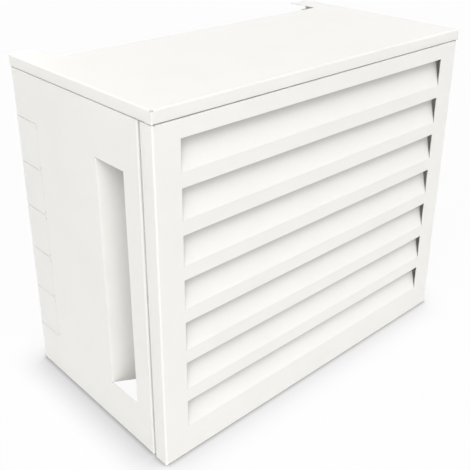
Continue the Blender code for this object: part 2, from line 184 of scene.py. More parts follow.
def fold_line(start: Sequence[float], heading: float, moves: Sequence[Move]) -> Line:
    """Points of a strip's outer face seen along its folds.

    Every chord of a bend is twice the radius times the sine of half its share of the turn, and
    heads half that share past the last one. The points are the running sum of the chords.

    Args:
        start: first point, two coordinates.
        heading: direction of the first stretch, as an angle from the first coordinate.
        moves: the stretches in order.

    Returns:
        An array of points, two coordinates each.
    """
    steps = np.array([move.steps for move in moves])
    share = np.repeat([move.turn / move.steps for move in moves], steps)
    size = np.repeat([move.size for move in moves], steps)
    chord = np.where(share == 0, size, 2 * size * np.sin(np.abs(share) / 2))
    angle = heading + np.cumsum(share) - share / 2
    strides = chord[:, None] * np.stack([np.cos(angle), np.sin(angle)], 1)
    return np.vstack([start, np.array(start) + np.cumsum(strides, 0)])


def square_flange(start: Sequence[float], heading: float, turn: float, width: float,
                  radius: float = STOCK.fold_radius) -> Line:
    """A square fold at an edge and the flange beyond it, its width measured over the fold."""
    return fold_line(start, heading, [fold(turn, radius), Move(width - radius)])


def carry(profile: Line, places: Sequence[float], along: Along) -> Grid:
    """A grid of points: a profile repeated at each place of one direction.

    Args:
        profile: points whose two coordinates are the other two directions, in their order.
        places: where the profile stands along its direction.
        along: that direction.

    Returns:
        An array of places by profile points by three coordinates.
    """
    others = [axis for axis in range(3) if axis != along.value]
    grid = np.empty((len(places), len(profile), 3))
    grid[..., along.value] = np.asarray(places)[:, None]
    grid[..., others] = profile[None, :, :]
    return grid


def between(values: Sequence[float], low: float, high: float) -> np.ndarray:
    """Which steps of a rising list of places lie between two of them."""
    values = np.asarray(values)
    middle = (values[1:] + values[:-1]) / 2
    return (middle > low) & (middle < high)


def whole(grid: Grid) -> np.ndarray:
    """A mask that keeps every cell of a grid."""
    return np.ones((grid.shape[0] - 1, grid.shape[1] - 1), bool)


def mirrored(places: Sequence[float]) -> np.ndarray:
    """The places of the left half and, in reverse with the other sign, those of the right."""
    places = np.asarray(places)
    return np.concatenate([places, -places[::-1]])


def face_outwards(data: Mesh, facing: Sequence[float] = (0, 0, 0), weld: float = 0.0) -> None:
    """Turns a mesh's faces outwards.

    Args:
        data: the mesh.
        facing: direction that the widest face of an open mesh looks in.
        weld: distance below which points become one.
    """
    work = bmesh.new()
    work.from_mesh(data)
    if weld:
        bmesh.ops.remove_doubles(work, verts=work.verts, dist=weld)
    bmesh.ops.recalc_face_normals(work, faces=work.faces)
    widest = max(work.faces, key=lambda face: face.calc_area())
    if widest.normal.dot(Vector(facing)) < 0:
        bmesh.ops.reverse_faces(work, faces=work.faces)
    work.to_mesh(data)
    work.free()


class Blank:
    """The outer face of one folded sheet, gathered patch by patch and then made a solid sheet."""

    def __init__(self) -> None:
        """Starts with no patch."""
        self.points: list[np.ndarray] = []
        self.faces: list[np.ndarray] = []
        self.count = 0

    def add(self, grid: Grid, keep: Optional[np.ndarray] = None) -> None:
        """Adds the kept cells of a grid.

        A cell's corners are its own point, the next one in its row, and the same two of the
        next row: four numbers that are sums of the cell's row and column.

        Args:
            grid: rows by columns by three coordinates.
            keep: rows less one by columns less one, true where there is sheet.
        """
        row, column = np.nonzero(whole(grid) if keep is None else keep)
        width = grid.shape[1]
        corner = self.count + row * width + column
        self.faces.append(np.stack([corner, corner + 1, corner + width + 1, corner + width], 1))
        self.points.append(grid.reshape(-1, 3))
        self.count += grid.shape[0] * width

    def round_off(self, corner: Sequence[float], first: Sequence[float], second: Sequence[float],
                  radius: float, steps: int = 8) -> None:
        """Rounds a corner of an opening with a fan of triangles outside a quarter circle.

        The arc's centre is a radius along both directions from the corner. Its points turn
        about that centre from one edge to the other, and the fan starts from the corner.

        Args:
            corner: the square corner.
            first: unit direction of one edge, away from the corner.
            second: unit direction of the other edge.
            radius: radius of the arc.
            steps: chords of the arc.
        """
        corner, first, second = (np.asarray(item, float) for item in (corner, first, second))
        centre = corner + radius * (first + second)
        angle = np.linspace(0, RIGHT_ANGLE, steps + 1)[:, None]
        arc = centre - radius * (np.cos(angle) * first + np.sin(angle) * second)
        index = self.count + 1 + np.arange(steps)
        apexes = np.full(steps, self.count)
        self.faces.append(np.stack([apexes, index, index + 1, index + 1], 1))
        self.points.append(np.vstack([corner, arc]))
        self.count += steps + 2

    def mesh(self, name: str, facing: Sequence[float], mirror: int = 1) -> Mesh:
        """The welded outer face, its normals outwards.

        Args:
            name: name of the mesh.
            facing: direction that the widest face looks in.
            mirror: the sign that the width coordinate is multiplied by.

        Returns:
            The mesh, not yet thickened.
        """
        points = np.vstack(self.points) * (mirror, 1, 1)
        faces = np.vstack(self.faces)
        used, index = np.unique(faces, return_inverse=True)
        faces = index.reshape(faces.shape)
        fan = faces[:, 2] == faces[:, 3]
        data = bpy.data.meshes.new(name)
        data.from_pydata(points[used], [], faces[~fan].tolist() + faces[fan, :3].tolist())
        face_outwards(data, facing, STOCK.weld)
        return data


def put(name: str, data: ID) -> Object:
    """Puts a new object with its data into the scene."""
    item = bpy.data.objects.new(name, data)
    bpy.context.scene.collection.objects.link(item)
    return item


def show(name: str, data: Mesh, material: Material) -> Object:
    """Puts a mesh into the scene with its material, smooth but for its sharp edges."""
    data.materials.append(material)
    data.shade_smooth()
    return put(name, data)


def dress(item: Object, body: str, node: str) -> Object:
    """Rides a piece on its body, in place of the frame's node."""
    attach(item, body)
    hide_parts(node)
    LOG.info("%s: %d faces, on %s", item.name, len(item.data.polygons), body)
    return item


def show_sheet(name: str, data: Mesh, coat: Material, body: str, node: str) -> Object:
    """Makes an outer face a coated sheet, riding on its body in place of the frame's node.

    It gets its thickness inwards, and its cut edges are broken, as the coat rounds them.

    Args:
        name: name of the piece.
        data: the outer face.
        coat: the powder coat.
        body: body that it rides on.
        node: the frame's node.

    Returns:
        The piece.
    """
    item = show(name, data, coat)
    wall = item.modifiers.new("wall", "SOLIDIFY")
    wall.thickness = STOCK.gauge
    wall.offset = -1
    wall.use_even_offset = True
    edge = item.modifiers.new("edge", "BEVEL")
    edge.width = STOCK.edge_break
    edge.segments = 2
    edge.limit_method = "ANGLE"
    edge.angle_limit = STOCK.sharp_edge
    edge.use_clamp_overlap = False
    edge.harden_normals = True
    return dress(item, body, node)


# ---- finishes


def srgb(code: str) -> tuple[float, float, float, float]:
    """Turns a hex colour, six digits after a hash, into linear light with a full alpha."""
    value = np.array([int(code[place:place + 2], 16) for place in (1, 3, 5)]) / 255
    low = value / 12.92
    high = ((value + 0.055) / 1.055) ** 2.4
    return (*np.where(value <= 0.04045, low, high).tolist(), 1.0)


def add_node(tree: NodeTree, kind: str, settings: Optional[dict[str, Any]] = None,
             links: Optional[dict[Any, NodeSocket]] = None) -> Node:
    """Adds one node.

    Args:
        tree: the material's node tree.
        kind: the node's type name, less the part that all shader nodes share.
        settings: properties by name, and socket values by name or number.
        links: sockets of this node, by name or number, and what comes into each.

    Returns:
        The node.
    """
    node = tree.nodes.new(f"ShaderNode{kind}")
    for name, value in (settings or {}).items():
        if isinstance(name, str) and hasattr(node, name):
            setattr(node, name, value)
        else:
            node.inputs[name].default_value = value
    for name, source in (links or {}).items():
        tree.links.new(source, node.inputs[name])
    return node


def new_material(name: str) -> tuple[Material, NodeTree]:
    """An empty node material and its tree."""
    material = bpy.data.materials.new(name)
    material.use_nodes = True
    material.node_tree.nodes.clear()
    return material, material.node_tree


def seen_rays(tree: NodeTree) -> NodeSocket:
    """One for the rays that see a surface, straight, mirrored or through glass, else nothing."""
    path = add_node(tree, "LightPath")
    seen = path.outputs["Is Camera Ray"]
    for kind in ("Glossy", "Transmission"):
        seen = add_node(tree, "Math", {"operation": "MAXIMUM"}, {
            0: seen, 1: path.outputs[f"Is {kind} Ray"]}).outputs[0]
    return seen


@dataclass(frozen=True)
class PowderCoat:
    """Polyester powder, sprayed dry on aluminium sheet and baked to a skin.

    It levels to a satin skin with a fine orange peel: the light spreads evenly over a flat,
    gathers in a soft line along each fold, and no grain of the metal shows through. Shade is
    painted into its colour: it is darkened towards a grey where the piece closes in on itself,
    and towards a dark grey in narrow cuts, in gaps between parts and along the floor.
    """

    name: str = "powder_coat_satin_white"
    colour: str = "#EEEDE9"
    uneven: str = "#EBEAE6"
    recess_shade: str = "#CCCBC7"
    crevice_shade: str = "#5E5D5A"
    roughness: float = 0.36
    peel: float = 0.0022
    peel_height: float = 0.00003
    mottle: float = 0.16
    recess: float = 0.14
    recess_open: tuple[float, float] = (0.94, 0.72)
    narrow: float = 0.0025
    narrow_open: tuple[float, float] = (0.63, 0.47)
    wander: float = 0.04

    def closed(self, tree: NodeTree, reach: float, local: bool,
               opened: tuple[float, float]) -> NodeSocket:
        """How far a point is closed in by what lies within reach: none to whole.

        Args:
            tree: the material's node tree.
            reach: how far away a face still counts.
            local: true where only the piece's own faces count.
            opened: open share at which the painted shade starts, and at which it is darkest.

        Returns:
            The share.
        """
        share = add_node(tree, "AmbientOcclusion", {
            "samples": 8, "only_local": local, "Distance": reach})
        return add_node(tree, "MapRange", {1: opened[0], 2: opened[1]},
                        {0: share.outputs["AO"]}).outputs[0]

    def build(self) -> Material:
        """The material: a satin dielectric with a fine relief, a faint unevenness and painted
        shade.
        """
        material, tree = new_material(self.name)
        place = add_node(tree, "TexCoord")
        # The unevenness is a hand's breadth wide, where the gun passed a little faster
        cloud = add_node(tree, "TexNoise", {"Scale": 1 / self.mottle, "Detail": 3.0},
                         {"Vector": place.outputs["Object"]})
        share = add_node(tree, "MapRange", {1: 0.45, 2: 0.75, 4: 0.7},
                         {0: cloud.outputs[0]})
        tone = add_node(tree, "Mix", {
            "data_type": "RGBA", 6: srgb(self.colour), 7: srgb(self.uneven)}, {0: share.outputs[0]})
        # Painted shade: the colour goes towards a grey where the piece closes in on itself within
        # reach
        coat = add_node(tree, "Mix", {"data_type": "RGBA", 7: srgb(self.recess_shade)}, {
            0: self.closed(tree, self.recess, True, self.recess_open), 6: tone.outputs[2]})
        # Painted shade: the colour goes towards a dark grey in narrow cuts, in gaps between parts
        # and where a sheet meets the floor
        crevice_shaded = add_node(tree, "Mix", {"data_type": "RGBA", 7: srgb(self.crevice_shade)}, {
            0: self.closed(tree, self.narrow, False, self.narrow_open), 6: coat.outputs[2]})
        # Orange peel is about 1 mm across; it is drawn twice as coarse, so that it shows
        peel = add_node(tree, "TexNoise", {
            "Scale": 1 / self.peel, "Detail": 2.0, "Roughness": 0.4},
            {"Vector": place.outputs["Object"]})
        relief = add_node(tree, "Bump", {"Distance": self.peel_height},
                          {"Height": peel.outputs[0]})
        skin = add_node(tree, "MapRange", {
            3: self.roughness - self.wander, 4: self.roughness + self.wander},
            {0: cloud.outputs[0]})
        shader = add_node(tree, "BsdfPrincipled", {"IOR": 1.5}, {
            "Base Color": crevice_shaded.outputs[2], "Roughness": skin.outputs[0],
            "Normal": relief.outputs[0]})
        add_node(tree, "OutputMaterial", links={0: shader.outputs[0]})
        return material


@dataclass(frozen=True)
class TurnedMetal:
    """Metal turned and then tumbled or plated, with fine rings left by the tool."""

    name: str
    colour: str
    dull: str
    roughness: float
    ring: float = 0.0003
    ring_depth: float = 0.00002
    blotch: float = 0.0025

    def build(self) -> Material:
        """The material: a metal whose tint and roughness follow rings on the piece's own map."""
        material, tree = new_material(self.name)
        place = add_node(tree, "TexCoord")
        # Tool marks are about 0.1 mm apart; they are drawn three times as coarse, to show at all
        rings = add_node(tree, "TexWave", {
            "bands_direction": "Y", "Scale": 1 / self.ring / 20, "Distortion": 0.6},
            {"Vector": place.outputs["UV"]})
        cloud = add_node(tree, "TexNoise", {"Scale": 1 / self.blotch, "Detail": 3.0},
                         {"Vector": place.outputs["Object"]})
        tone = add_node(tree, "Mix", {
            "data_type": "RGBA", 6: srgb(self.colour), 7: srgb(self.dull)}, {0: cloud.outputs[0]})
        skin = add_node(tree, "MapRange", {
            3: self.roughness - 0.06, 4: self.roughness + 0.08},
            {0: cloud.outputs[0]})
        relief = add_node(tree, "Bump", {"Strength": 0.3, "Distance": self.ring_depth},
                          {"Height": rings.outputs[1]})
        shader = add_node(tree, "BsdfPrincipled", {"Metallic": 1.0}, {
            "Base Color": tone.outputs[2], "Roughness": skin.outputs[0],
            "Normal": relief.outputs[0]})
        add_node(tree, "OutputMaterial", links={0: shader.outputs[0]})
        return material


@dataclass(frozen=True)
class MouldedNylon:
    """Black nylon, injection moulded: a dull skin with the fine grain of a spark-cut mould."""

    name: str = "nylon_moulded_black"
    colour: str = "#1D1D1F"
    worn: str = "#29292B"
    roughness: float = 0.55
    grain: float = 0.0004
    grain_depth: float = 0.00004

    def build(self) -> Material:
        """The material: a dark dielectric with a grain."""
        material, tree = new_material(self.name)
        place = add_node(tree, "TexCoord")
        grain = add_node(tree, "TexNoise", {"Scale": 1 / self.grain, "Detail": 2.0},
                         {"Vector": place.outputs["Object"]})
        tone = add_node(tree, "Mix", {
            "data_type": "RGBA", 6: srgb(self.colour), 7: srgb(self.worn)}, {0: grain.outputs[0]})
        relief = add_node(tree, "Bump", {"Strength": 0.5, "Distance": self.grain_depth},
                          {"Height": grain.outputs[0]})
        shader = add_node(tree, "BsdfPrincipled", {
            "IOR": 1.53, "Roughness": self.roughness},
            {"Base Color": tone.outputs[2], "Normal": relief.outputs[0]})
        add_node(tree, "OutputMaterial", links={0: shader.outputs[0]})
        return material


@dataclass(frozen=True)
class FootShade:
    """How the floor darkens where the screen closes round it.

    Attributes:
        reach: how far away the screen still counts.
        lean: how far the light that counts comes from the front right rather than from above.
        depth: how dark the shade would be where nothing is left open.
        curve: power that gathers it at the foot.
    """

    reach: float
    lean: float
    depth: float
    curve: float

    def add(self, tree: NodeTree) -> NodeSocket:
        """Adds the light left: one less the depth times the closed share to its power."""
        way = add_node(tree, "CombineXYZ", {0: self.lean, 1: -self.lean, 2: 1.0})
        unit = add_node(tree, "VectorMath", {"operation": "NORMALIZE"},
                        {0: way.outputs[0]})
        share = add_node(tree, "AmbientOcclusion", {
            "samples": 16, "Distance": self.reach}, {"Normal": unit.outputs[0]})
        closed = add_node(tree, "Math", {"operation": "SUBTRACT", 0: 1.0},
                          {1: share.outputs["AO"]})
        curve = add_node(tree, "Math", {"operation": "POWER", 1: self.curve},
                         {0: closed.outputs[0]})
        return add_node(tree, "MapRange", {3: 1.0, 4: 1.0 - self.depth},
                        {0: curve.outputs[0]}).outputs[0]


@dataclass(frozen=True)
class StudioFloor:
    """A pale painted floor, rolled on in matt white.

    It is seen as white as the background, but for the soft shade that the screen keeps round
    its foot, and it sends back only part of the light, so that the recesses stay deep.
    """

    name: str = "matt_white_floor"
    seen: str = "#FDFDFD"
    bounce: str = "#D2D2D2"
    glow: float = 0.96
    broad: FootShade = FootShade(reach=0.10, lean=0.2, depth=0.70, curve=1.37)
    close: FootShade = FootShade(reach=0.012, lean=0.0, depth=0.87, curve=1.27)

    def build(self) -> Material:
        """The material: a matt white, lifted to the background's white where it is seen."""
        material, tree = new_material(self.name)
        light = add_node(tree, "Math", {"operation": "MULTIPLY"},
                         {0: self.broad.add(tree), 1: self.close.add(tree)})
        shade = add_node(tree, "Mix", {
            "data_type": "RGBA", 6: srgb("#000000"), 7: srgb(self.seen)}, {0: light.outputs[0]})
        paint = add_node(tree, "BsdfDiffuse", links={"Color": shade.outputs[2]})
        glow = add_node(tree, "Emission", links={"Color": shade.outputs[2]})
        seen = add_node(tree, "MixShader", {0: self.glow},
                        {1: paint.outputs[0], 2: glow.outputs[0]})
        bounce = add_node(tree, "BsdfDiffuse", {"Color": srgb(self.bounce)})
        either = add_node(tree, "MixShader", links={
            0: seen_rays(tree), 1: bounce.outputs[0], 2: seen.outputs[0]})
        add_node(tree, "OutputMaterial", links={0: either.outputs[0]})
        return material


# ---- the sheets


@dataclass
class Lid:
    """The lid: a flat top, a hemmed skirt on three sides, and two ears that reach the wall."""

    coat: Material
    ear_width: float = 0.070
    ear_reach: float = 0.095
    rear_lip: float = 0.020
    radius: float = STOCK.tight_radius
    ground_radius: float = 0.0012
    relief: float = 0.0050

    def skirt_line(self, edge: float) -> Line:
        """Section of the skirt at an edge on the low side: fold, drop, fold and hem."""
        return fold_line((edge + self.radius, SIZE.height), math.pi, [
            fold(RIGHT_ANGLE, self.radius), Move(SIZE.skirt - 2 * self.radius),
            fold(RIGHT_ANGLE, self.radius), Move(STOCK.hem - self.radius)])

    def add_skirt(self, blank: Blank, along: Along, places: np.ndarray, line: Line,
                  low: float, high: float, hem_cut: float) -> None:
        """Adds the skirt of one edge, its top fold and its hem cut short of the corners.

        Args:
            blank: the lid's outer face so far.
            along: direction of the edge.
            places: where its section stands.
            line: its section.
            low: place of the corner at its start.
            high: place of the corner at its end.
            hem_cut: how far from the corner the skirt still ends in a plain edge.
        """
        steps, cut = STOCK.fold_steps, STOCK.cut
        drop = 1 + steps
        grid = carry(line, places, along)
        keep = whole(grid)
        keep[~between(places, low + self.relief, high - self.relief), :steps] = False
        keep[~between(places, low + hem_cut + cut, high - hem_cut - cut), drop:] = False
        blank.add(grid, keep)
        foot = carry(np.array([line[drop], [line[drop][0], SIZE.skirt_level]]), places, along)
        blank.add(foot, ~between(places, low + hem_cut, high - hem_cut)[:, None])

    def add_corner(self, blank: Blank, side: Side) -> None:
        """Adds a front corner of the skirt, welded and ground a little round.

        The plan runs from the side's skirt to the front's over a quarter circle, and stands at
        the levels of the skirt's own lines. Above it the relief hole of the folds stays open.
        """
        straight = self.radius - self.ground_radius
        plan = fold_line((SIZE.left, SIZE.front + self.radius), -RIGHT_ANGLE, [
            Move(straight), fold(RIGHT_ANGLE, self.ground_radius, 4), Move(straight)])
        levels = [SIZE.skirt_level, SIZE.skirt_level + self.radius, SIZE.height - self.radius]
        blank.add(carry(plan * (side.value, 1), levels, Along.HEIGHT))

    def build(self) -> Object:
        """The lid in its place, riding on the screen."""
        radius, cut, relief = self.radius, STOCK.cut, self.relief
        left, front, rear = SIZE.left, SIZE.front, SIZE.rear
        recess = rear - self.ear_reach
        inner = left + self.ear_width
        corner = STOCK.hem + cut
        xs = mirrored(left + np.array([
            radius, radius + cut, radius + 2 * cut, relief, self.ear_width,
            self.ear_width + cut]))
        ys = np.array([front + radius, front + relief, front + corner, front + corner + cut,
                       recess - radius, recess, rear])
        blank = Blank()
        top = carry(np.stack([xs, np.full(len(xs), SIZE.height)], 1), ys, Along.DEPTH)
        keep = whole(top)
        keep[np.ix_(between(ys, recess - radius, rear), between(xs, inner, -inner))] = False
        blank.add(top, keep)
        lip = carry(square_flange((recess - radius, SIZE.height), 0, -RIGHT_ANGLE, self.rear_lip,
                                  radius), xs, Along.WIDTH)
        keep = whole(lip)
        keep[~between(xs, inner + cut, -inner - cut)] = False
        blank.add(lip, keep)
        self.add_skirt(blank, Along.WIDTH, xs, self.skirt_line(front), left, -left,
                       radius + cut)
        line = self.skirt_line(left)
        for side in Side:
            self.add_skirt(blank, Along.DEPTH, ys, line * (side.value, 1),
                           front, rear + corner + cut, corner)
            self.add_corner(blank, side)
        return show_sheet("lid", blank.mesh("lid", (0, 0, 1)), self.coat, "screen", "top_cover")


def add_level_flanges(blank: Blank, along: Along, places: np.ndarray, face: float,
                      low: float, high: float) -> None:
    """Adds the flanges folded in, tightly, along the foot and the top of a panel's face."""
    radius = STOCK.tight_radius
    for level, way in ((SIZE.panel_top - radius, 1), (radius, -1)):
        grid = carry(square_flange((face, level), way * RIGHT_ANGLE, -way * RIGHT_ANGLE,
                                   STOCK.hem, radius), places, along)
        keep = whole(grid)
        keep[~between(places, low, high)] = False
        blank.add(grid, keep)


def clear_for_flanges(keep: np.ndarray, zs: np.ndarray, columns: np.ndarray) -> None:
    """Leaves out the foot and top rows of a panel where its flanges are folded in."""
    radius = STOCK.tight_radius
    rows = between(zs, 0, radius) | between(zs, SIZE.panel_top - radius, SIZE.panel_top)
    keep[np.ix_(rows, columns)] = False


def flags_at(total: int, first: int, flags: np.ndarray) -> np.ndarray:
    """A row of flags that are all off but for some that start at a given place."""
    row = np.zeros(total, bool)
    row[first:first + len(flags)] = flags
    return row


@dataclass
class FrontPanel:
    """The front: one tray with hemmed returns, its louvres folded in from their openings."""

    coat: Material
    border: float = 0.067
    top_border: float = 0.040
    least_sill: float = 0.070
    pitch: float = 0.104
    opening: float = 0.071
    radius: float = 0.008
    lean: float = math.radians(14)
    lean_steps: int = 8
    side_cut: float = 0.0003

    def sills(self) -> np.ndarray:
        """Level of the bottom edge of each louvre opening, from the top one down."""
        highest = SIZE.panel_top - self.top_border - self.opening
        count = int((highest - self.least_sill) / self.pitch) + 1
        return highest - np.arange(count) * self.pitch

    def add_wall(self, blank: Blank, xs: np.ndarray, border: float) -> None:
        """Adds the face and the returns, with the louvres' openings left out."""
        radius, tight, top = STOCK.fold_radius, STOCK.tight_radius, SIZE.panel_top
        sills = self.sills()
        zs = np.sort(np.concatenate([
            [0, tight, top - tight, top], sills, sills + self.opening]))
        left = fold_line((SIZE.panel_left + STOCK.hem, SIZE.return_level), math.pi, [
            Move(STOCK.hem - radius), fold(RIGHT_ANGLE),
            Move(SIZE.return_depth - 2 * radius), fold(RIGHT_ANGLE)])
        face = np.stack([xs[1:-1], np.full(len(xs) - 2, SIZE.panel_front)], 1)
        plan = np.vstack([left, face, left[::-1] * (-1, 1)])
        wall = carry(plan, zs, Along.HEIGHT)
        keep = whole(wall)
        first, steps = len(left) - 1, len(plan) - 1
        clear_for_flanges(keep, zs, flags_at(steps, first, between(xs, xs[1], xs[-2])))
        opened = flags_at(steps, first, between(xs, border, -border))
        middle = (zs[1:] + zs[:-1]) / 2
        rows = np.any((middle > sills[:, None]) & (middle < sills[:, None] + self.opening), 0)
        keep[np.ix_(rows, opened)] = False
        blank.add(wall, keep)

    def add_blade(self, blank: Blank, xs: np.ndarray, border: float, sill: float) -> None:
        """Adds one louvre's blade, folded in from the foot of its opening."""
        flat = self.opening - STOCK.cut - self.lean * self.radius
        line = fold_line((SIZE.panel_front, sill), RIGHT_ANGLE, [
            fold(-self.lean, self.radius, self.lean_steps), Move(flat)])
        grid = carry(line, xs, Along.WIDTH)
        keep = whole(grid)
        keep[~between(xs, border + self.side_cut, -border - self.side_cut)] = False
        blank.add(grid, keep)

    def build(self) -> Object:
        """The front panel in its place, riding on the screen."""
        cut = STOCK.cut
        edge = SIZE.panel_left + STOCK.fold_radius
        border = SIZE.left + self.border
        xs = mirrored([edge, edge + cut, edge + 2 * cut, border, border + self.side_cut])
        blank = Blank()
        self.add_wall(blank, xs, border)
        add_level_flanges(blank, Along.WIDTH, xs, SIZE.panel_front, xs[2], xs[-3])
        for sill in self.sills():
            self.add_blade(blank, xs, border, sill)
        mesh = blank.mesh("front_panel", (0, -1, 0))
        return show_sheet("front_panel", mesh, self.coat, "screen", "front_louvre_panel")


@dataclass
class SidePanel:
    """A side: upright flanges, a tall slot with its blade, and the line where the tabs hinge."""

    coat: Material
    side: Side
    rear_flange: float = 0.033
    slot_start: float = 0.104
    slot_width: float = 0.102
    slot_sill: float = 0.112
    slot_top_border: float = 0.122
    slot_radius: float = 0.004
    slot_lean: float = math.radians(60)
    tab_count: int = 5
    tab_reach: float = 0.091
    tab_sill: float = 0.115
    tab_top_border: float = 0.1152
    tab_cut: float = 0.0015
    tab_gap: float = 0.0002
    perforation_length: float = 0.0052
    perforation_width: float = 0.0042
    perforation_inset: float = 0.0048
    wall_slot_width: float = 0.007
    wall_slot_length: float = 0.014

    @property
    def slot_front(self) -> float:
        """The slot's front edge."""
        return SIZE.front + self.slot_start

    @property
    def slot_rear(self) -> float:
        """The slot's rear edge, where its blade is folded in."""
        return self.slot_front + self.slot_width

    @property
    def slot_top(self) -> float:
        """The slot's top edge."""
        return SIZE.panel_top - self.slot_top_border

    @property
    def tab_line(self) -> float:
        """The line that the tabs fold on."""
        return SIZE.rear - self.tab_reach

    @property
    def tabs_top(self) -> float:
        """The top of the upper tab, with its cut."""
        return SIZE.panel_top - self.tab_top_border

    def tab_levels(self) -> np.ndarray:
        """Lowest and highest level of each tab, between its cuts: one row a tab."""
        pitch = (self.tabs_top - self.tab_sill) / self.tab_count
        low = self.tab_sill + pitch * np.arange(self.tab_count)
        return np.stack([low + self.tab_cut / 2, low + pitch - self.tab_cut / 2], 1)

    def perforations(self) -> np.ndarray:
        """Levels of the short cuts on the fold line, near both ends of every tab."""
        low, high = self.tab_levels().T
        inset, length = self.perforation_inset, self.perforation_length
        starts = np.concatenate([low + inset, high - inset - length])
        return np.stack([starts, starts + length], 1)

    def rear_fold(self) -> Line:
        """Plan of the fold at the rear edge and of the flange that meets the wall."""
        return square_flange((SIZE.panel_left, SIZE.rear - STOCK.fold_radius), RIGHT_ANGLE,
                             -RIGHT_ANGLE, self.rear_flange)

    def wall_slots(self) -> list[tuple[float, float]]:
        """Lowest and highest level of the slots for wall screws."""
        half = self.wall_slot_length / 2
        return [(z - half, z + half)
                for z in (self.tab_sill / 2, (self.tabs_top + SIZE.panel_top) / 2)]

    def add_wall(self, blank: Blank, ys: np.ndarray, zs: np.ndarray) -> None:
        """Adds the face and the upright flanges, with every opening left out."""
        radius = STOCK.fold_radius
        front = fold_line((SIZE.panel_left + STOCK.hem, SIZE.side_front), math.pi, [
            Move(STOCK.hem - radius), fold(-RIGHT_ANGLE)])
        face = np.stack([np.full(len(ys) - 2, SIZE.panel_left), ys[1:-1]], 1)
        rear = self.rear_fold()
        centre = SIZE.panel_left + self.rear_flange / 2
        half = self.wall_slot_width / 2
        across = np.array([centre - half, centre, centre + half])
        rear = np.vstack([rear[:-1], np.stack([across, np.full(3, SIZE.rear)], 1), rear[-1:]])
        plan = np.vstack([front, face, rear])
        wall = carry(plan, zs, Along.HEIGHT)
        keep = whole(wall)
        first, steps = len(front) - 1, len(plan) - 1
        clear_for_flanges(keep, zs, flags_at(steps, first, between(ys, ys[1], ys[-2])))
        opened = flags_at(steps, first, between(ys, self.slot_front, self.slot_rear))
        keep[np.ix_(between(zs, self.slot_sill, self.slot_top), opened)] = False
        pierced = flags_at(steps, first, between(
            ys, self.tab_line - self.perforation_width, self.tab_line))
        for low, high in self.perforations():
            keep[np.ix_(between(zs, low, high), pierced)] = False
        behind = np.arange(steps) >= first + np.argmax(ys >= self.tab_line)
        keep[np.ix_(between(zs, self.tab_sill - self.tab_cut / 2,
                            self.tabs_top + self.tab_cut / 2), behind)] = False
        slotted = flags_at(steps, steps - 3, np.array([True, True]))
        for low, high in self.wall_slots():
            keep[np.ix_(between(zs, low, high), slotted)] = False
            for x, inward in ((centre - half, 1), (centre + half, -1)):
                for z, upward in ((low, 1), (high, -1)):
                    blank.round_off((x, SIZE.rear, z), (inward, 0, 0), (0, 0, upward), half)
        blank.add(wall, keep)

    def add_blade(self, blank: Blank, zs: np.ndarray) -> None:
        """Adds the tall blade folded in from the rear edge of the slot."""
        flat = self.slot_width - STOCK.cut - self.slot_lean * self.slot_radius
        line = fold_line((SIZE.panel_left, self.slot_rear), -RIGHT_ANGLE, [
            fold(self.slot_lean, self.slot_radius), Move(flat)])
        levels = zs[(zs >= self.slot_sill + STOCK.cut) & (zs <= self.slot_top - STOCK.cut)]
        blank.add(carry(line, levels, Along.HEIGHT))

    def build(self) -> Object:
        """The side panel in its place, riding on the screen."""
        cut, radius, tight = STOCK.cut, STOCK.fold_radius, STOCK.tight_radius
        edge, back = SIZE.side_front + radius, SIZE.rear - radius
        ys = np.array([edge, edge + cut, edge + 2 * cut, self.slot_front, self.slot_rear,
                       self.tab_line - self.perforation_width, self.tab_line,
                       back - 2 * cut, back - cut, back])
        half = self.wall_slot_width / 2
        slots = [level for low, high in self.wall_slots()
                 for level in (low, low + half, high - half, high)]
        zs = np.unique(np.concatenate([
            [0, tight, self.slot_sill, self.slot_sill + cut, self.slot_top - cut, self.slot_top,
             self.tab_sill - self.tab_cut / 2, self.tabs_top + self.tab_cut / 2,
             SIZE.panel_top - tight, SIZE.panel_top],
            self.perforations().ravel(), slots]))
        blank = Blank()
        self.add_wall(blank, ys, zs)
        self.add_blade(blank, zs)
        add_level_flanges(blank, Along.DEPTH, ys, SIZE.panel_left, ys[2], ys[-3])
        name = f"{self.side.word}_panel"
        mesh = blank.mesh(name, (-self.side.value, 0, 0), self.side.value)
        return show_sheet(name, mesh, self.coat, "screen", f"{self.side.word}_side_panel")

    def build_tabs(self) -> list[Object]:
        """The fold-in tabs, each on its own body: a plate up to the rear fold, with its flange."""
        tabs = []
        plan = np.vstack([[SIZE.panel_left, self.tab_line + self.tab_gap], self.rear_fold()])
        for number, levels in enumerate(self.tab_levels(), 1):
            blank = Blank()
            blank.add(carry(plan, levels, Along.HEIGHT))
            node = f"{self.side.word}_pipe_tab_{number}"
            name = f"{self.side.word}_tab_{number}"
            mesh = blank.mesh(name, (-self.side.value, 0, 0), self.side.value)
            tabs.append(show_sheet(name, mesh, self.coat, node, node))
        return tabs


# ---- the fasteners


@dataclass(frozen=True)
class Ring:
    """One ring of a turned piece: its radius, its height, and what breaks its roundness."""

    radius: float
    height: float
    six_sided: bool = False
    knurl: float = 0.0


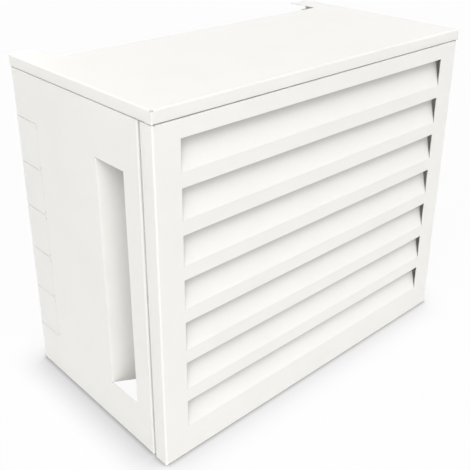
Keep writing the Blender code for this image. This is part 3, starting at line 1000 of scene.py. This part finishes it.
def turned(name: str, rings: Sequence[Ring], steps: int, closed: bool, flutes: int = 0) -> Mesh:
    """A turned piece: rings of points round +Z, joined in order.

    A round ring keeps its radius at every angle. A six-sided one divides it by the cosine of
    the angle to the middle of its side. A knurled one loses its flutes' depth as a cosine.

    Args:
        name: name of the mesh.
        rings: the rings in order, outwards on the left.
        steps: points of each ring.
        closed: true where the last ring joins the first, false where both ends are filled.
        flutes: flutes of the knurl in a full turn.

    Returns:
        The mesh, with a map of the turn and of the way along the profile.
    """
    angle = np.arange(steps) * 2 * math.pi / steps
    sixth = math.pi / 3
    hexagon = 1 / np.cos((angle % sixth) - sixth / 2)
    radius, height, six, knurl = np.array([
        (ring.radius, ring.height, ring.six_sided, ring.knurl) for ring in rings]).T[..., None]
    reach = radius * np.where(six, hexagon, 1) - knurl * (0.5 - 0.5 * np.cos(flutes * angle))
    grid = np.stack(np.broadcast_arrays(
        reach * np.cos(angle), reach * np.sin(angle), height), -1)
    count = len(rings) if closed else len(rings) - 1
    row, column = np.divmod(np.arange(count * steps), steps)
    above, beside = (row + 1) % len(rings), (column + 1) % steps
    faces = np.stack([row * steps + column, row * steps + beside,
                      above * steps + beside, above * steps + column], 1).tolist()
    if not closed:
        last = (len(rings) - 1) * steps
        faces += [list(range(steps))[::-1], list(range(last, last + steps))]
    data = bpy.data.meshes.new(name)
    data.from_pydata(grid.reshape(-1, 3), [], faces)
    way = np.append(0, np.cumsum(np.hypot(np.diff(radius[:, 0]), np.diff(height[:, 0]))))
    corner = np.array([loop.vertex_index for loop in data.loops])
    chart = np.stack([corner % steps / steps, way[corner // steps]], 1)
    data.uv_layers.new(name="turned").data.foreach_set("uv", chart.astype(np.float32).ravel())
    face_outwards(data)
    return data


def arc_rings(radius: float, height: float, size: float, steps: int = 4) -> list[Ring]:
    """Rings of a rounded lower rim: a quarter circle, downwards and in, about a profile point."""
    angle = np.linspace(0, RIGHT_ANGLE, steps + 1)
    return [Ring(r, z) for r, z in zip(
        radius + size * np.cos(angle), height - size * np.sin(angle))]


class Kind(Enum):
    """A kind of fastener, named as the frame's nodes end, and its slot of the record."""

    SCREW = "screw_steel"
    RIVET_NUT = "nut_zinc"
    SPACER = "black_nylon"


@dataclass
class Fasteners:
    """Socket screws, rivet nuts and spacers, their finishes, and where they stand."""

    finishes: dict[Kind, Material]
    lid_front_shares: tuple[float, ...] = (-0.32, 0.0, 0.32)
    lid_side_shares: tuple[float, ...] = (-0.22, 0.26)
    joint_shares: tuple[float, ...] = (0.12, 0.52, 0.92)
    shank_radius: float = 0.0024
    shank_reach: float = 0.006
    head_radius: float = 0.0047
    head_height: float = 0.0028
    head_edge: float = 0.0006
    socket_reach: float = 0.0015
    socket_depth: float = 0.0016
    knurl: float = 0.00018
    flutes: int = 36
    flange_radius: float = 0.0052
    barrel_radius: float = 0.0036
    crimp: float = 0.003
    crimp_radius: float = 0.0046
    tail: float = 0.006
    spacer_radius: float = 0.0043
    loose_fit: float = 0.0003
    round_steps: int = 48
    sharp_edge: float = math.radians(32)

    @property
    def bore(self) -> float:
        """Radius of the hole that a shank goes through with room."""
        return self.shank_radius + self.loose_fit

    @property
    def hem_middle(self) -> float:
        """How far in from the lid's edge the screws stand: halfway over the hems' shared flat."""
        return SIZE.inset + (STOCK.hem - SIZE.inset) / 2

    def lid_places(self) -> list[tuple[str, float, float]]:
        """Names and places, across and along, of the screws under the lid."""
        places = [(f"lid_front_{number}", share * SIZE.width, SIZE.front + self.hem_middle)
                  for number, share in enumerate(self.lid_front_shares, 1)]
        places += [(f"lid_{side.word}_{number}", side.value * (SIZE.left + self.hem_middle),
                    share * SIZE.depth)
                   for side in Side for number, share in enumerate(self.lid_side_shares, 1)]
        return places

    def joint_places(self) -> list[tuple[str, float, float]]:
        """Names and places, across and up, of the screws between the front and the sides."""
        return [(f"{side.word}_joint_{number}", side.value * (SIZE.left + self.hem_middle),
                 share * SIZE.panel_top)
                for side in Side for number, share in enumerate(self.joint_shares, 1)]

    def screw(self, name: str, grip: float) -> Mesh:
        """A socket screw along +Z, from the face under its head through the grip to its tip."""
        tip = grip + self.shank_reach
        edge, head = self.head_edge, self.head_radius
        rings = [Ring(self.shank_radius - edge, tip), Ring(self.shank_radius, tip - edge),
                 Ring(self.shank_radius, 0.0), Ring(head - edge / 3, 0.0),
                 Ring(head, -edge / 3, knurl=self.knurl),
                 Ring(head, -self.head_height + edge, knurl=self.knurl)]
        rings += arc_rings(head - edge, edge - self.head_height, edge)[1:]
        rim = self.socket_reach
        rings += [Ring(rim + edge / 3, -self.head_height, True),
                  Ring(rim, -self.head_height + edge / 3, True),
                  Ring(rim, -self.head_height + self.socket_depth, True),
                  Ring(rim / 8, -self.head_height + self.socket_depth + rim / 3)]
        return turned(name, rings, 4 * self.flutes, False, self.flutes)

    def nut(self, name: str) -> Mesh:
        """A rivet nut along +Z: its flange under the sheet, its crimped barrel above it."""
        bore, barrel, rim = self.bore, self.barrel_radius, self.flange_radius
        over = 2 * STOCK.seat_gap + STOCK.gauge
        flange, edge = SIZE.nut_flange, SIZE.nut_flange / 4
        swell = np.linspace(0, 1, 9)
        bulge = barrel + (self.crimp_radius - barrel) * np.sin(math.pi * swell ** 0.6)
        rings = [Ring(bore, -flange + edge), Ring(bore + edge, -flange), Ring(rim - edge, -flange),
                 Ring(rim, -flange + edge), Ring(rim, -edge / 2), Ring(rim - edge / 2, 0.0),
                 Ring(barrel, 0.0), Ring(barrel, over)]
        rings += [Ring(r, over + self.crimp * t) for r, t in zip(bulge[1:], swell[1:])]
        end = over + self.crimp + self.tail
        rings += [Ring(barrel, end - edge), Ring(barrel - edge, end), Ring(bore, end)]
        return turned(name, rings, self.round_steps, True)

    def spacer(self, name: str, thickness: float) -> Mesh:
        """A nylon washer along +Z with rounded edges."""
        bore, rim, edge = self.bore, self.spacer_radius, thickness / 8
        rings = [Ring(bore, edge), Ring(bore + edge, 0.0), Ring(rim - edge, 0.0), Ring(rim, edge),
                 Ring(rim, thickness - edge), Ring(rim - edge, thickness),
                 Ring(bore + edge, thickness), Ring(bore, thickness - edge)]
        return turned(name, rings, self.round_steps, True)

    def place(self, name: str, kind: Kind, mesh: Mesh, point: Sequence[float],
              turn: Matrix) -> Object:
        """Sets a copy of a turned piece where the frame has its node."""
        node = f"{name}_{kind.name.lower()}"
        data = mesh.copy()
        data.transform(Matrix.Translation(point) @ turn)
        item = show(f"{node}_seen", data, self.finishes[kind])
        data.set_sharp_from_angle(angle=self.sharp_edge)
        return dress(item, "screen", node)

    def build(self) -> list[Object]:
        """Every fastener in its place, all of them riding on the screen."""
        gap, gauge, flange = STOCK.seat_gap, STOCK.gauge, SIZE.nut_flange
        nut = self.nut("rivet_nut")
        upright = Matrix()
        screw = self.screw("lid_screw", 3 * gap + 2 * gauge + flange)
        items: list[Object] = []
        for name, x, y in self.lid_places():
            items += [
                self.place(name, Kind.SCREW, screw, (x, y, SIZE.panel_top - gauge - gap), upright),
                self.place(name, Kind.RIVET_NUT, nut, (x, y, SIZE.skirt_level - gap), upright)]
        forward = Matrix.Rotation(RIGHT_ANGLE, 4, "X")
        head_seat = SIZE.side_front + gauge + gap
        thickness = SIZE.side_front - SIZE.return_level - flange - 3 * gap
        spacer = self.spacer("joint_spacer", thickness)
        screw = self.screw("joint_screw", head_seat - SIZE.return_level + gauge)
        for name, x, z in self.joint_places():
            items += [
                self.place(name, Kind.SCREW, screw, (x, head_seat, z), forward),
                self.place(name, Kind.RIVET_NUT, nut, (x, SIZE.return_level + gap, z), forward),
                self.place(name, Kind.SPACER, spacer, (x, SIZE.side_front - gap, z), forward)]
        return items


# ---- the studio


@dataclass(frozen=True)
class Lamp:
    """A wide soft light far away.

    Attributes:
        name: what it lights first.
        azimuth: degrees round from the front, to the right.
        height: degrees above the floor.
        width: degrees across, as the screen sees it.
        level: its share of white on a sheet that faces it.
    """

    name: str
    azimuth: float
    height: float
    width: float
    level: float

    def build(self) -> Object:
        """The lamp: it shines from sin a cos h, -cos a cos h, sin h."""
        data = bpy.data.lights.new(self.name, "SUN")
        data.energy = math.pi * self.level
        data.angle = math.radians(self.width)
        around, up = math.radians(self.azimuth), math.radians(self.height)
        towards = Vector((math.sin(around) * math.cos(up), -math.cos(around) * math.cos(up),
                          math.sin(up)))
        item = put(self.name, data)
        item.rotation_euler = towards.to_track_quat("Z", "Y").to_euler()
        return item


@dataclass(frozen=True)
class SoftBox:
    """A softbox near the left corner, for the slow fall of light along the sheets."""

    place: tuple[float, float, float] = (-1.6, -1.0, 1.6)
    aim: tuple[float, float, float] = (0.0, -0.1, 0.4)
    size: float = 1.0
    power: float = 4.5

    def build(self) -> Object:
        """The softbox, unseen by the camera."""
        data = bpy.data.lights.new("softbox", "AREA")
        data.energy = self.power
        data.size = self.size
        item = put("softbox", data)
        item.location = self.place
        towards = Vector(self.place) - Vector(self.aim)
        item.rotation_euler = towards.to_track_quat("Z", "Y").to_euler()
        item.visible_camera = False
        return item


@dataclass
class Studio:
    """A pale floor, soft lights and the camera."""

    floor_rings: tuple[float, ...] = (0.0, 1.5, 4.0, 60.0)
    floor_steps: int = 96
    lamps: tuple[Lamp, ...] = (
        Lamp("key", -45, 65, 40, 0.62),
        Lamp("front", 0, 10, 50, 0.458),
        Lamp("left", -90, 30, 40, 0.27),
        Lamp("corner", -45, 10, 50, 0.115),
        Lamp("right", 90, 10, 50, 0.54),
        Lamp("rear", 180, 10, 50, 0.45),
    )
    lens: float = 57.178
    shift: float = -0.11702
    camera_place: tuple[float, float, float] = (-1.24856, -1.30593, 1.27099)
    camera_axes: tuple[tuple[float, float, float], ...] = (
        (0.737049, -0.675827, 0.004157),
        (0.272140, 0.302412, 0.913502),
        (-0.618626, -0.672165, 0.406812),
    )

    def build_floor(self) -> Object:
        """The floor: a disc of rings, each point its radius times the cosine and sine."""
        radius = np.array(self.floor_rings)[:, None]
        angle = np.linspace(0, 2 * math.pi, self.floor_steps + 1)[None, :]
        grid = np.stack(np.broadcast_arrays(
            radius * np.cos(angle), radius * np.sin(angle), 0.0), -1)
        blank = Blank()
        blank.add(grid)
        item = show("floor", blank.mesh("floor", (0, 0, 1)), StudioFloor().build())
        return item

    def build_lights(self) -> None:
        """The lamps, the softbox, and a world that is seen as white and gives no light itself."""
        for lamp in self.lamps:
            lamp.build()
        SoftBox().build()
        world = bpy.data.worlds.new("studio")
        bpy.context.scene.world = world
        world.use_nodes = True
        tree = world.node_tree
        tree.nodes.clear()
        back = add_node(tree, "Background", {"Color": (1.0, 1.0, 1.0, 1.0)},
                        {"Strength": seen_rays(tree)})
        add_node(tree, "OutputWorld", links={0: back.outputs[0]})

    def build_camera(self) -> Object:
        """The camera where the photograph was taken from."""
        data = bpy.data.cameras.new("camera")
        data.lens = self.lens
        data.shift_y = self.shift
        item = put("camera", data)
        turn = Matrix(self.camera_axes).transposed().to_4x4()
        item.matrix_world = Matrix.Translation(self.camera_place) @ turn
        bpy.context.scene.camera = item
        return item

    def build(self) -> None:
        """The whole studio, with the plain view transform."""
        bpy.context.scene.view_settings.view_transform = "Standard"
        self.build_camera()
        self.build_lights()
        self.build_floor()


def main() -> None:
    """Builds the screen and the studio."""
    logging.basicConfig(level=logging.INFO, format="%(name)s: %(message)s")
    Studio().build()
    coat = PowderCoat().build()
    steel = TurnedMetal("stainless_steel_tumbled", "#C9C8C4", "#ADACA8", 0.30).build()
    zinc = TurnedMetal("zinc_plated_steel", "#D3D5D6", "#B4B7B8", 0.38).build()
    nylon = MouldedNylon().build()
    Lid(coat).build()
    FrontPanel(coat).build()
    for side in Side:
        panel = SidePanel(coat, side)
        panel.build()
        panel.build_tabs()
    Fasteners({Kind.SCREW: steel, Kind.RIVET_NUT: zinc, Kind.SPACER: nylon}).build()


if __name__ == "__main__":
    main()
